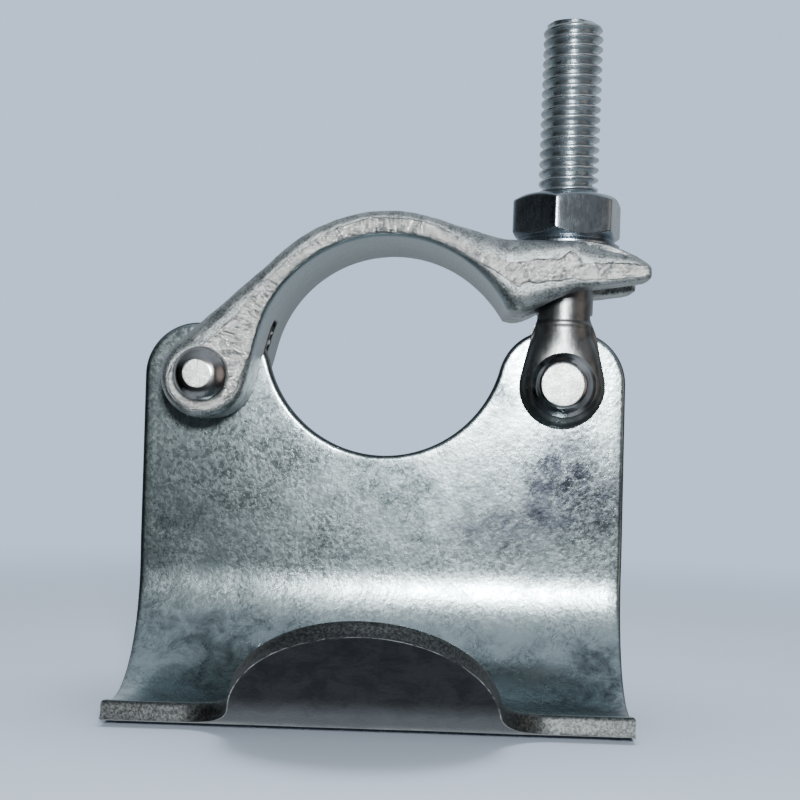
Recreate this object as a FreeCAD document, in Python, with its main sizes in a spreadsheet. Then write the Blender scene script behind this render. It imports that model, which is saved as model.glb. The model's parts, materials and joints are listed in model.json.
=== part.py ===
"""Pressed single coupler for 48.3 mm scaffold tube: hook plate, hinged flap, swing bolt and nut.

The plate's hook seats a ledger tube that runs along X. A second tube runs along Y over it,
in the plate's notch and under the flap. The origin is on the ledger tube's axis, +Z is up
and the hook opens towards -Y.
"""
import FreeCAD, Part
import math
import os
import re
import Sketcher

os.makedirs("parts", exist_ok=True)
doc = FreeCAD.newDocument("coupler")

# ---------------------------------------------------------------- driving dimensions

SIZES = {
    "tube_diameter": (48.3, "outside diameter of both scaffold tubes"),
    "seat_clearance": (0.1, "radial gap between the ledger tube and the hook"),
    "notch_clearance": (0.85, "radial gap between the upper tube and the notch"),
    "cap_clearance": (2.5, "radial gap between the upper tube and the flap's inside"),
    "sheet": (3.7, "thickness of the pressed plate"),
    "plate_width": (100.5, "plate along the ledger tube"),
    "ear_rise": (1.5, "top of the ears above the upper tube's axis"),
    "notch_drop": (0.5, "notch centre below the upper tube's axis"),
    "ear_outer_radius": (11.1, "rounding of the ears' outer corners"),
    "ear_inner_radius": (11.0, "rounding of the ears' corners beside the notch"),
    "lip_turn": (18.5, "degrees that the two lips run on past the seat's lowest line"),
    "tongue_turn": (46.0, "degrees at which the tongue leaves the seat and runs straight"),
    "tongue_reach": (37.7, "tongue tip from the seat's lowest line, along the sheet"),
    "tongue_radius": (25.2, "rounded outline of the tongue"),
    "root_radius": (10.0, "outline radius between the tongue and the lips"),
    "shear_turn": (46.0, "degrees past the seat's lowest line to which the outline is square"),
    "pivot_drop": (10.1, "both pivots below the upper tube's axis"),
    "flap_pivot_offset": (11.35, "flap pivot beyond the side of the upper tube"),
    "bolt_pivot_offset": (12.85, "bolt pivot beyond the side of the upper tube"),
    "bolt_lean": (0.75, "degrees that the bolt leans away from the arch at rest"),
    "closed_angle": (13.1, "degrees that the flap lies below its place around a tube"),
    "flap_width": (35.0, "flap along the upper tube"),
    "cap_wall": (5.3, "thickness of the flap's arch"),
    "lug_radius": (8.7, "round end of the flap's lugs"),
    "ear_gap": (0.6, "gap each side between the plate and what straddles it"),
    "lug_slot_radius": (17.0, "reach of the lug slot around the flap pivot"),
    "crown_angle": (68.0, "degrees at which the arch ends towards the bolt"),
    "seat_height": (28.7, "flap's nut seat above the pivots"),
    "seat_reach": (12.7, "nut seat from the bolt's axis towards the arch"),
    "shoulder_angle": (32.0, "degrees of the rounded shoulder beyond the bolt"),
    "toe_reach": (16.2, "flap's end beyond the bolt's axis"),
    "toe_top": (23.4, "upper corner of the flap's end above the pivots"),
    "toe_under": (20.9, "underside of the flap's end above the pivots"),
    "knee_under": (18.7, "underside beside the bolt above the pivots"),
    "heel_under": (14.2, "lowest point of the heel above the pivots"),
    "heel_reach": (8.4, "heel from the bolt's axis towards the arch"),
    "flap_rounding": (1.8, "rounding of the flap's outer edges"),
    "bolt_slot_gap": (0.8, "gap each side between the bolt and the flap's slot"),
    "bolt_slot_relief": (1.3, "how far the slot runs on past the bolt towards the arch"),
    "bolt_diameter": (12.5, "outside diameter of the bolt's thread"),
    "shank_diameter": (12.1, "plain part of the bolt"),
    "bolt_reach": (76.1, "bolt's end above its pivot"),
    "thread_length": (54.0, "threaded part of the bolt"),
    "bolt_end_chamfer": (1.2, "chamfer on the bolt's end"),
    "eye_radius": (8.85, "round end of the bolt's forked eye"),
    "eye_width": (13.0, "both tines of the eye together"),
    "neck_height": (13.5, "top of the eye's taper above its pivot"),
    "fork_depth": (14.8, "fork slot above its pivot"),
    "nut_flats": (20.8, "nut across its flats"),
    "nut_height": (10.4, "nut with its flange"),
    "flange_reach": (0.7, "flange beyond the nut's flats"),
    "flange_edge": (0.5, "rim of the flange"),
    "flare_height": (1.4, "top of the flange's flare, where the nut is narrowest"),
    "neck_inset": (0.5, "narrowest place of the nut inside its flats"),
    "nut_chamfer": (30.0, "degrees of the chamfer on the nut's top"),
    "nut_under_chamfer": (37.0, "degrees of the chamfer over the flare"),
    "nut_turn": (16.4, "degrees that the nut's corner is turned from +X"),
    "nut_seat_gap": (0.25, "nut above the flap's seat"),
    "nut_bore_gap": (0.05, "radial gap between the nut and the thread"),
    "rivet_diameter": (8.0, "shank of both rivets"),
    "rivet_gap": (0.06, "radial gap around the rivets"),
    "rivet_side_gap": (0.15, "gap under each rivet head"),
    "dome_diameter": (11.2, "domed heads of the flap rivet"),
    "dome_edge": (0.4, "straight rim of the domed heads"),
    "dome_height": (3.3, "height of the domed heads"),
    "dome_flat": (5.5, "hammered flat on the domed heads"),
    "cone_diameter": (13.5, "heads of the bolt rivet at their rim"),
    "cone_rim": (0.8, "rim of the bolt rivet's heads"),
    "cone_height": (3.4, "height of the bolt rivet's heads"),
    "cone_flat": (9.0, "flat top of the bolt rivet's heads"),
}

sheet = doc.addObject("Spreadsheet::Sheet", "Sizes")
for row, (name, (value, note)) in enumerate(SIZES.items(), start=1):
    sheet.set(f"A{row}", name)
    sheet.set(f"B{row}", str(value))
    sheet.set(f"C{row}", note)
    sheet.setAlias(f"B{row}", name)
doc.recompute()

# Lengths that follow from the driving ones, as formulas on the cells.
DERIVED = {
    "seat_radius": "(tube_diameter / 2 + seat_clearance)",
    "outer_radius": "(tube_diameter / 2 + seat_clearance + sheet)",
    "middle_y": "(tube_diameter / 2 + seat_clearance + sheet / 2)",
    "notch_radius": "(tube_diameter / 2 + notch_clearance)",
    "notch_height": "(tube_diameter - notch_drop)",
    "ear_top": "(tube_diameter + ear_rise)",
    "pivot_height": "(tube_diameter - pivot_drop)",
    "flap_pivot_reach": "(tube_diameter / 2 + flap_pivot_offset)",
    "bolt_pivot_reach": "(tube_diameter / 2 + bolt_pivot_offset)",
    "cap_radius": "(tube_diameter / 2 + cap_clearance)",
    "crown_radius": "(tube_diameter / 2 + cap_clearance + cap_wall)",
    "slot_width": "(sheet + 2 * ear_gap)",
    "bolt_slot_radius": "(bolt_diameter / 2 + bolt_slot_gap)",
    "pivot_span": "(flap_pivot_reach + bolt_pivot_reach)",
    "slot_end": "(flap_pivot_reach + bolt_pivot_reach - bolt_slot_relief)",
    "cap_x": "(flap_pivot_reach * cos(closed_angle) + pivot_drop * sin(closed_angle))",
    "cap_z": "(pivot_drop * cos(closed_angle) - flap_pivot_reach * sin(closed_angle))",
    "flange_radius": "(nut_flats / 2 + flange_reach)",
    "neck_radius": "(nut_flats / 2 - neck_inset)",
    "bolt_grip": "(eye_width / 2 + rivet_side_gap)",
    "flap_grip": "(flap_width / 2 + rivet_side_gap)",
}
WORD = re.compile(r"[a-z]+(?:_[a-z]+)*")


def formula(text):
    """The expression with each derived name written out and each cell given its sheet."""
    def swap(match):
        word = match.group(0)
        if word in DERIVED:
            return WORD.sub(swap, DERIVED[word])
        return f"Sizes.{word}" if word in SIZES else word
    return WORD.sub(swap, str(text))


def value(text):
    """The expression's number, in millimetres or degrees."""
    result = sheet.evalExpression(formula(text))
    return float(getattr(result, "Value", result))


# ---------------------------------------------------------------- helpers

def new_body(label, base=("0", "0", "0"), axis=(0, 0, 1), angle="0"):
    """A body whose place follows the sheet, turned about an axis by the angle in degrees."""
    body = doc.addObject("PartDesign::Body", label)
    body.Label = label
    if angle != "0":
        turned = FreeCAD.Rotation(FreeCAD.Vector(*axis), value(angle))
        body.Placement = FreeCAD.Placement(FreeCAD.Vector(), turned)
        body.setExpression(".Placement.Rotation.Angle", formula(angle))
    for letter, text in zip("xyz", base):
        body.setExpression(f".Placement.Base.{letter}", formula(text))
    return body


def plane(body, role):
    return next(item for item in body.Origin.OriginFeatures if item.Role == role)


def new_sketch(body, name, role="XZ_Plane"):
    sketch = body.newObject("Sketcher::SketchObject", name)
    sketch.AttachmentSupport = [(plane(body, role), "")]
    sketch.MapMode = "FlatFace"
    return sketch


def pin(sketch, geometry, point, x, y):
    """Fix a point of the sketch at the place that two expressions give."""
    for kind, text in (("DistanceX", x), ("DistanceY", y)):
        row = sketch.addConstraint(
            Sketcher.Constraint(kind, -1, 1, geometry, point, value(text)))
        sketch.setExpression(f"Constraints[{row}]", formula(text))


def circle(sketch, x, y, radius):
    centre = FreeCAD.Vector(value(x), value(y), 0)
    item = sketch.addGeometry(Part.Circle(centre, FreeCAD.Vector(0, 0, 1), value(radius)))
    pin(sketch, item, 3, x, y)
    row = sketch.addConstraint(Sketcher.Constraint("Radius", item, value(radius)))
    sketch.setExpression(f"Constraints[{row}]", formula(radius))


def outline(sketch, corners):
    """A closed outline. A corner is (x, y), and (x, y, radius, turn) starts an arc from it.

    turn is 1 for an arc that runs anticlockwise and -1 for a clockwise one. Each arc is the
    shorter of the two that its ends allow, unless turn is 2 or -2, which takes the longer.
    """
    places = [FreeCAD.Vector(value(c[0]), value(c[1]), 0) for c in corners]
    edges = []
    for index, corner in enumerate(corners):
        start, end = places[index], places[(index + 1) % len(places)]
        if len(corner) == 2:
            edges.append((sketch.addGeometry(Part.LineSegment(start, end)), 1, 2))
            continue
        radius, turn = value(corner[2]), corner[3]
        chord = end - start
        rise = math.sqrt(max(radius ** 2 - (chord.Length / 2) ** 2, 0))
        side = FreeCAD.Vector(-chord.y, chord.x, 0).normalize()
        way = 1 if turn > 0 else -1
        centre = (start + end) / 2 + side * rise * way * (1 if abs(turn) == 1 else -1)
        first, last = (start, end) if turn > 0 else (end, start)
        angles = [math.atan2(p.y - centre.y, p.x - centre.x) for p in (first, last)]
        ring = Part.Circle(centre, FreeCAD.Vector(0, 0, 1), radius)
        item = sketch.addGeometry(Part.ArcOfCircle(ring, *angles))
        row = sketch.addConstraint(Sketcher.Constraint("Radius", item, radius))
        sketch.setExpression(f"Constraints[{row}]", formula(corner[2]))
        edges.append((item, 1, 2) if turn > 0 else (item, 2, 1))
    for index, corner in enumerate(corners):
        item, start, _ = edges[index]
        before, _, end = edges[index - 1]
        sketch.addConstraint(Sketcher.Constraint("Coincident", before, end, item, start))
        pin(sketch, item, start, corner[0], corner[1])


def pad(body, sketch, name, length, symmetric=True):
    item = body.newObject("PartDesign::Pad", name)
    item.Profile = sketch
    if symmetric:
        item.SideType = "Symmetric"
    item.setExpression("Length", formula(length))
    return item


def pocket(body, sketch, name, length="2 * plate_width", symmetric=True):
    """A cut to both sides of its sketch, or to its front only. It has to take material away."""
    doc.recompute()
    before = body.Shape.Volume
    item = body.newObject("PartDesign::Pocket", name)
    item.Profile = sketch
    if symmetric:
        item.SideType = "Symmetric"
    else:
        item.Reversed = True
    item.setExpression("Length", formula(length))
    doc.recompute()
    if not body.Shape.Volume < before - 0.01:
        raise RuntimeError(f"{body.Label}: {name} cuts nothing")
    return item


def revolve(body, sketch, name, kind="Revolution"):
    item = body.newObject(f"PartDesign::{kind}", name)
    item.Profile = sketch
    item.ReferenceAxis = (sketch, ["V_Axis"])
    item.Angle = 360
    return item


def groove(body, sketch, name):
    """A turned cut, which has to take material away."""
    doc.recompute()
    before = body.Shape.Volume
    item = revolve(body, sketch, name, "Groove")
    doc.recompute()
    if not body.Shape.Volume < before - 0.01:
        raise RuntimeError(f"{body.Label}: {name} cuts nothing")
    return item


def fillet(body, base, name, radius, chosen):
    """Round the edges of the base for which chosen(edge) holds."""
    doc.recompute()
    names = [f"Edge{i}" for i, edge in enumerate(base.Shape.Edges, 1) if chosen(edge)]
    item = body.newObject("PartDesign::Fillet", name)
    item.Base = (base, names)
    item.setExpression("Radius", formula(radius))
    return item


# ---------------------------------------------------------------- hook plate

def make_plate():
    """One pressed sheet: two ears beside the notch, a flat web, the hook and its tongue."""
    body = new_body("hook_plate")
    side = new_sketch(body, "side_profile", "YZ_Plane")
    outline(side, [
        ("outer_radius", "ear_top"),
        ("seat_radius", "ear_top"),
        ("seat_radius", "0", "seat_radius", -1),
        ("0", "-seat_radius", "seat_radius", -1),
        ("-seat_radius * sin(lip_turn)", "-seat_radius * cos(lip_turn)"),
        ("-outer_radius * sin(lip_turn)", "-outer_radius * cos(lip_turn)", "outer_radius", 1),
        ("0", "-outer_radius", "outer_radius", 1),
        ("outer_radius", "0"),
    ])
    pad(body, side, "web_and_hook", "plate_width")

    tongue_side = new_sketch(body, "tongue_profile", "YZ_Plane")
    straight = "(tongue_reach - seat_radius * tongue_turn * pi / 180)"
    tip = [f"(-{r} * sin(tongue_turn) - {straight} * cos(tongue_turn))" for r in
           ("seat_radius", "outer_radius")]
    top = [f"(-{r} * cos(tongue_turn) + {straight} * sin(tongue_turn))" for r in
           ("seat_radius", "outer_radius")]
    outline(tongue_side, [
        ("0", "-seat_radius", "seat_radius", -1),
        ("-seat_radius * sin(tongue_turn)", "-seat_radius * cos(tongue_turn)"),
        (tip[0], top[0]),
        (tip[1], top[1]),
        ("-outer_radius * sin(tongue_turn)", "-outer_radius * cos(tongue_turn)",
         "outer_radius", 1),
        ("0", "-outer_radius"),
    ])
    # The tongue's outline is cut along one direction. In the plane square to it, foot is the
    # line of the lips, arch the middle of the tongue's round end and root_reach the place
    # where the root arc meets the lips.
    foot = "seat_radius * sin(lip_turn - shear_turn)"
    end = (f"(seat_radius * sin(tongue_turn - shear_turn)"
           f" + {straight} * cos(tongue_turn - shear_turn))")
    arch = f"({end} - tongue_radius)"
    lift = f"({foot} + root_radius - {arch})"
    root_reach = f"sqrt((tongue_radius + root_radius) ^ 2 - {lift} ^ 2)"
    share = "tongue_radius / (tongue_radius + root_radius)"
    meet = (f"{share} * {root_reach}", f"{arch} + {share} * {lift}")
    pad(body, tongue_side, "tongue", f"2 * {root_reach}")
    for way, name in ((1, "right"), (-1, "left")):
        cut = new_sketch(body, f"tongue_outline_{name}")
        cut.AttachmentOffset = FreeCAD.Placement(
            FreeCAD.Vector(), FreeCAD.Rotation(FreeCAD.Vector(1, 0, 0), 0))
        cut.setExpression(".AttachmentOffset.Rotation.Angle", formula("90 - shear_turn"))
        outline(cut, [
            (f"{way} * {root_reach}", foot, "root_radius", -way),
            (f"{way} * {meet[0]}", meet[1], "tongue_radius", way),
            ("0", end),
            ("0", f"{end} + 2 * sheet"),
            (f"{way} * ({root_reach} + 1)", f"{end} + 2 * sheet"),
            (f"{way} * ({root_reach} + 1)", foot),
        ])
        pocket(body, cut, f"tongue_edge_{name}", "outer_radius + 4 * sheet", symmetric=False)

    notch = new_sketch(body, "notch_outline")
    circle(notch, "0", "notch_height", "notch_radius")
    cut = pocket(body, notch, "notch")
    half = value("plate_width") / 2
    top = value("ear_top")

    def at_top(edge, near, far):
        middle = edge.CenterOfMass
        along = edge.BoundBox.YLength > value("sheet") * 0.9
        return along and abs(middle.z - top) < 0.01 and near < abs(middle.x) < far
    outer = fillet(body, cut, "ear_outer_rounding", "ear_outer_radius",
                   lambda edge: at_top(edge, half - 0.1, half + 0.1))
    inner = fillet(body, outer, "ear_inner_rounding", "ear_inner_radius",
                   lambda edge: at_top(edge, 1, value("notch_radius") + 0.1))

    holes = new_sketch(body, "rivet_holes")
    circle(holes, "-flap_pivot_reach", "pivot_height", "rivet_diameter / 2 + rivet_gap")
    circle(holes, "bolt_pivot_reach", "pivot_height", "rivet_diameter / 2 + rivet_gap")
    doc.recompute()
    pocket(body, holes, "rivet_hole_pair")
    return body


# ---------------------------------------------------------------- flap

def make_flap():
    """The forged flap: two lugs on the rivet, an arch over the tube and a slotted nut seat."""
    body = new_body("flap", ("-flap_pivot_reach", "middle_y", "pivot_height"))
    span = f"sqrt(({DERIVED['cap_x']}) ^ 2 + ({DERIVED['cap_z']}) ^ 2)"
    lean = f"atan(({DERIVED['cap_z']}) / ({DERIVED['cap_x']}))"
    # The back of the flap is the common tangent of its lug and its crown.
    back = f"({lean} + acos((lug_radius - crown_radius) / {span}))"
    # Inside, the lug's tangent crosses over to the arch's inside.
    front = f"({lean} - acos((lug_radius + cap_radius) / {span}))"
    side = new_sketch(body, "flap_outline")
    outline(side, [
        (f"lug_radius * cos({front})", f"lug_radius * sin({front})", "lug_radius", -2),
        (f"lug_radius * cos({back})", f"lug_radius * sin({back})"),
        (f"cap_x + crown_radius * cos({back})", f"cap_z + crown_radius * sin({back})",
         "crown_radius", -1),
        ("cap_x + crown_radius * cos(crown_angle)", "cap_z + crown_radius * sin(crown_angle)"),
        ("pivot_span - seat_reach", "seat_height"),
        ("pivot_span", "seat_height", "seat_height", -1),
        ("pivot_span + seat_height * sin(shoulder_angle)", "seat_height * cos(shoulder_angle)"),
        ("pivot_span + toe_reach", "toe_top"),
        ("pivot_span + toe_reach", "toe_under"),
        ("pivot_span + 1", "knee_under"),
        ("pivot_span - heel_reach", "heel_under"),
        ("cap_x", "heel_under"),
        ("cap_x", "cap_z"),
        (f"cap_x - cap_radius * cos({front})", f"cap_z - cap_radius * sin({front})"),
    ])
    pad(body, side, "flap_blank", "flap_width")
    bore = new_sketch(body, "tube_space")
    circle(bore, "cap_x", "cap_z", "cap_radius")
    arch = pocket(body, bore, "arch_inside")

    # Both faces are rounded along the lugs, the back, the crown, the seat and the toe.
    face = value("flap_width") / 2
    inside = value("cap_radius") + value("cap_wall") / 2
    cap_x, cap_z = value("cap_x"), value("cap_z")

    def is_outer(edge):
        middle = edge.valueAt((edge.FirstParameter + edge.LastParameter) / 2)
        on_face = edge.BoundBox.YLength < 0.01 and abs(abs(middle.y) - face) < 0.01
        under = middle.x > cap_x and middle.z < value("toe_under") + 0.1
        return on_face and not under and math.hypot(middle.x - cap_x, middle.z - cap_z) > inside
    fillet(body, arch, "outer_rounding", "flap_rounding", is_outer)

    doc.recompute()
    lug_slot = new_sketch(body, "lug_slot_outline")
    circle(lug_slot, "0", "0", "lug_slot_radius")
    pocket(body, lug_slot, "lug_slot", "slot_width")

    slot = new_sketch(body, "bolt_slot_outline", "XY_Plane")
    outline(slot, [
        ("slot_end", "bolt_slot_radius", "bolt_slot_radius", 1),
        ("slot_end - bolt_slot_radius", "0", "bolt_slot_radius", 1),
        ("slot_end", "-bolt_slot_radius"),
        ("pivot_span + 2 * toe_reach", "-bolt_slot_radius"),
        ("pivot_span + 2 * toe_reach", "bolt_slot_radius"),
    ])
    pocket(body, slot, "bolt_slot", "4 * seat_height")

    hole = new_sketch(body, "lug_hole_outline")
    circle(hole, "0", "0", "rivet_diameter / 2 + rivet_gap")
    pocket(body, hole, "lug_holes")
    return body


# ---------------------------------------------------------------- swing bolt

def make_bolt():
    """The swing bolt: a forked flat eye drawn up into a round shank with a thread."""
    body = new_body("swing_bolt", ("bolt_pivot_reach", "middle_y", "pivot_height"),
                    (0, 1, 0), "bolt_lean")
    # The taper is the tangent from the shank's foot to the eye.
    far = "sqrt((shank_diameter / 2) ^ 2 + neck_height ^ 2)"
    touch = f"(atan(neck_height / (shank_diameter / 2)) - acos(eye_radius / {far}))"
    eye = new_sketch(body, "eye_outline")
    outline(eye, [
        ("-shank_diameter / 2", "neck_height"),
        (f"-eye_radius * cos({touch})", f"eye_radius * sin({touch})", "eye_radius", 2),
        (f"eye_radius * cos({touch})", f"eye_radius * sin({touch})"),
        ("shank_diameter / 2", "neck_height"),
    ])
    pad(body, eye, "eye", "eye_width")

    shank = new_sketch(body, "shank_profile")
    outline(shank, [
        ("0", "neck_height - 3"),
        ("shank_diameter / 2", "neck_height - 3"),
        ("shank_diameter / 2", "bolt_reach - thread_length"),
        ("bolt_diameter / 2", "bolt_reach - thread_length + 0.4"),
        ("bolt_diameter / 2", "bolt_reach - bolt_end_chamfer"),
        ("bolt_diameter / 2 - bolt_end_chamfer", "bolt_reach"),
        ("0", "bolt_reach"),
    ])
    revolve(body, shank, "shank")

    gap = new_sketch(body, "fork_gap", "YZ_Plane")
    outline(gap, [
        ("-slot_width / 2", "-2 * eye_radius"),
        ("slot_width / 2", "-2 * eye_radius"),
        ("slot_width / 2", "fork_depth"),
        ("-slot_width / 2", "fork_depth"),
    ])
    pocket(body, gap, "fork", "4 * eye_radius")

    hole = new_sketch(body, "eye_hole_outline")
    circle(hole, "0", "0", "rivet_diameter / 2 + rivet_gap")
    pocket(body, hole, "eye_holes")
    return body


# ---------------------------------------------------------------- flanged nut

def make_nut():
    """The hexagon nut with its flared flange, seated on the flap."""
    seat = "(seat_height + nut_seat_gap)"
    body = new_body("flange_nut", (f"bolt_pivot_reach + {seat} * sin(bolt_lean)", "middle_y",
                                   f"pivot_height + {seat} * cos(bolt_lean)"),
                    (0, 1, 0), "bolt_lean")
    hexagon = new_sketch(body, "hexagon", "XY_Plane")
    corner = "nut_flats / 2 / cos(30)"
    outline(hexagon, [(f"{corner} * cos(nut_turn + {60 * i})",
                       f"{corner} * sin(nut_turn + {60 * i})") for i in range(6)])
    pad(body, hexagon, "hexagon_block", "nut_height", symmetric=False)

    # Chamfers take the hexagon's corners off at its top and over the flare.
    rim = "nut_flats / 2 - 0.4"
    beyond = "(1.3 * nut_flats / 2)"
    top = new_sketch(body, "top_chamfer_profile")
    outline(top, [
        (rim, "nut_height"),
        (beyond, f"nut_height - ({beyond} - ({rim})) * tan(nut_chamfer)"),
        (beyond, "nut_height + 1"),
        (rim, "nut_height + 1"),
    ])
    groove(body, top, "top_chamfer")
    under = new_sketch(body, "under_chamfer_profile")
    outline(under, [
        ("neck_radius", "flare_height"),
        ("neck_radius", "-1"),
        (beyond, "-1"),
        (beyond, f"flare_height + ({beyond} - neck_radius) * tan(nut_under_chamfer)"),
    ])
    groove(body, under, "under_chamfer")

    flange = new_sketch(body, "flange_profile")
    outline(flange, [
        ("0", "0"),
        ("flange_radius", "0"),
        ("flange_radius", "flange_edge", "flange_radius / 5", -1),
        ("neck_radius", "flare_height"),
        ("0", "flare_height"),
    ])
    revolve(body, flange, "flange")

    bore = new_sketch(body, "bore_outline", "XY_Plane")
    circle(bore, "0", "0", "bolt_diameter / 2 + nut_bore_gap")
    pocket(body, bore, "bore", "4 * nut_height")
    return body


# ---------------------------------------------------------------- rivets

def make_rivet(label, reach, grip, rim, edge, flat, height, bulge=None):
    """A rivet with a head at each end. Its own axis is Z, turned so that it lies along Y."""
    body = new_body(label, (reach, "middle_y", "pivot_height"), (1, 0, 0), "90")
    profile = new_sketch(body, "rivet_profile")
    shank = "rivet_diameter / 2"
    arc = (bulge, 1) if bulge else ()
    outline(profile, [
        ("0", f"-({grip} + {height})"),
        (f"{flat} / 2", f"-({grip} + {height})", *arc),
        (f"{rim} / 2", f"-({grip} + {edge})"),
        (f"{rim} / 2", f"-{grip}"),
        (shank, f"-{grip}"),
        (shank, grip),
        (f"{rim} / 2", grip),
        (f"{rim} / 2", f"{grip} + {edge}", *arc),
        (f"{flat} / 2", f"{grip} + {height}"),
        ("0", f"{grip} + {height}"),
    ])
    revolve(body, profile, "rivet")
    return body


pieces = [
    make_plate(),
    make_flap(),
    make_rivet("flap_rivet", "-flap_pivot_reach", "flap_grip",
               "dome_diameter", "dome_edge", "dome_flat", "dome_height", "dome_height"),
    make_bolt(),
    make_rivet("bolt_rivet", "bolt_pivot_reach", "bolt_grip",
               "cone_diameter", "cone_rim", "cone_flat", "cone_height"),
    make_nut(),
]
doc.recompute()

# ---------------------------------------------------------------- checks and export

for item in doc.Objects:
    if "Invalid" in item.State or "Error" in item.State:
        raise RuntimeError(f"{item.Label} did not build: {item.State}")
for piece in pieces:
    shape = piece.Shape
    if shape.isNull() or not shape.isValid() or len(shape.Solids) != 1:
        raise RuntimeError(f"{piece.Label} is not one valid solid")
    print(f"{piece.Label}: {shape.Volume / 1000:.2f} cm3")
for piece in pieces:
    piece.Shape.exportStep(f"parts/{piece.Label}.step")
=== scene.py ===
import json
import math

import bpy
import numpy as np
from mathutils import Matrix, Vector, noise
from mathutils.geometry import delaunay_2d_cdt
from mathutils.kdtree import KDTree


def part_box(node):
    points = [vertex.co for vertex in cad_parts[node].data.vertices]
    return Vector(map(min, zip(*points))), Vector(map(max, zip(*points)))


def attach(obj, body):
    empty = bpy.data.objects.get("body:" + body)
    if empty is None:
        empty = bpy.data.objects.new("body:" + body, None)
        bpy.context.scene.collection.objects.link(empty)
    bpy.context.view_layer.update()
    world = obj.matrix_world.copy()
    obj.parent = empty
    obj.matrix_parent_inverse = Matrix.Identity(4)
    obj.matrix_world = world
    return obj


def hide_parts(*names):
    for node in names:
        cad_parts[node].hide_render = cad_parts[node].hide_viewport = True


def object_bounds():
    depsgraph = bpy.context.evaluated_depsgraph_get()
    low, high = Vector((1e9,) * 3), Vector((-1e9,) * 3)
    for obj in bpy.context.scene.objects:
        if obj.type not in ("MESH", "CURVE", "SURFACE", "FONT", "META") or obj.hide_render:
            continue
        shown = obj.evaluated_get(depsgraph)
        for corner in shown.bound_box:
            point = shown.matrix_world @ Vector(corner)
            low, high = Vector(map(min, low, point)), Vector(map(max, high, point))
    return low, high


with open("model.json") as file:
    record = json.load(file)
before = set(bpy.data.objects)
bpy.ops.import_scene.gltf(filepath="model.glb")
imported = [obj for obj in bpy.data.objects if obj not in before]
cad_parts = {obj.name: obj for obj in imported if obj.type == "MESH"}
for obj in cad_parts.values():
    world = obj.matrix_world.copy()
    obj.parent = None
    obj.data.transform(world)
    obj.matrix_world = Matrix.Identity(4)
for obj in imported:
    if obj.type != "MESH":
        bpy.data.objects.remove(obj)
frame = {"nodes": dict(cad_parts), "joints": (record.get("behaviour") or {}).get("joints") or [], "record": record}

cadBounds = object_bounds()
mm = 0.001
joints = {joint["name"]: joint for joint in frame["joints"]}
mounts = {mount["name"]: mount for mount in frame["record"]["mounts"]}
flapPivot = np.array(joints["flap_hinge"]["pos_m"])
boltPivot = np.array(joints["bolt_swing"]["pos_m"])
boltAxis = np.array(joints["nut_travel"]["axis"])
seatRadius = mounts["ledger_seat"]["dims"]["r_mm"] * mm
tubeAxis = np.array(mounts["upper_tube_seat"]["pos_m"])
print("frame loaded")


# Mesh helpers. Lengths are metres, outlines are rows of x, y points.

def arc(cx, cy, radius, start, end, step=0.7 * mm):
    count = max(int(abs(math.radians(end - start)) * radius / step), 3)
    turn = np.radians(np.linspace(start, end, count, endpoint=False))
    return np.c_[cx + radius * np.cos(turn), cy + radius * np.sin(turn)]


def line(x0, y0, x1, y1, step=0.7 * mm):
    share = np.linspace(0, 1, max(int(math.hypot(x1 - x0, y1 - y0) / step), 1), endpoint=False)
    return np.c_[x0 + share * (x1 - x0), y0 + share * (y1 - y0)]


def smooth(value, low, high):
    share = np.clip((value - low) / (high - low), 0, 1)
    return share * share * (3 - 2 * share)


def ripple(points, size, seed):    # gentle noise from -1 to 1
    return np.array([noise.noise(Vector(p) / size + Vector((seed, seed, 0))) for p in points])


def outward(loop):    # mitred normals of an outline that runs anticlockwise
    after = np.roll(loop, -1, 0) - loop
    after /= np.linalg.norm(after, axis=1)[:, None]
    before = np.roll(after, 1, 0)
    normal = np.c_[after[:, 1] + before[:, 1], -after[:, 0] - before[:, 0]] / 2
    return normal / (normal ** 2).sum(1)[:, None]


def filled(loops, spacing):    # triangles over an outline with holes, and the points added inside
    rim = np.concatenate(loops)
    tree = KDTree(len(rim))
    for index, p in enumerate(rim):
        tree.insert((p[0], p[1], 0), index)
    tree.balance()
    lo, hi = rim.min(0), rim.max(0)
    rows = np.arange(lo[1], hi[1], spacing * 0.87)
    grid = np.array([(x + (row % 2) * spacing / 2, y) for row, y in enumerate(rows)
                     for x in np.arange(lo[0], hi[0], spacing)])

    def within(points):
        odd = np.zeros(len(points), bool)
        for loop in loops:
            nextUp = np.roll(loop, -1, 0)
            for (x0, y0), (x1, y1) in zip(loop, nextUp):
                if y0 != y1:
                    crossed = (points[:, 1] > y0) != (points[:, 1] > y1)
                    meets = x0 + (x1 - x0) * (points[:, 1] - y0) / (y1 - y0)
                    odd ^= crossed & (points[:, 0] < meets)
        return odd
    grid = grid[within(grid)]
    grid = grid[[tree.find((x, y, 0))[2] > spacing * 0.6 for x, y in grid]]
    points = np.concatenate([rim, grid])
    edges, start = [], 0
    for loop in loops:
        count = len(loop)
        edges += [(start + i, start + (i + 1) % count) for i in range(count)]
        start += count
    made = delaunay_2d_cdt([Vector(p) for p in points], edges, [], 0, 1e-7)
    source = [rows[0] for rows in made[3]]
    triangles = np.array([[source[i] for i in face] for face in made[2]])
    triangles = triangles[within(points[triangles].mean(1))]
    a, b, c = (points[triangles[:, i]] for i in range(3))
    flip = (b[:, 0] - a[:, 0]) * (c[:, 1] - a[:, 1]) < (b[:, 1] - a[:, 1]) * (c[:, 0] - a[:, 0])
    triangles[flip] = triangles[flip][:, ::-1]
    return triangles, grid


def gridFaces(rows, columns, start=0):    # quads of a tube of rings
    return [(start + r * columns + c, start + r * columns + (c + 1) % columns,
             start + (r + 1) * columns + (c + 1) % columns, start + (r + 1) * columns + c)
            for r in range(rows - 1) for c in range(columns)]


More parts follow.
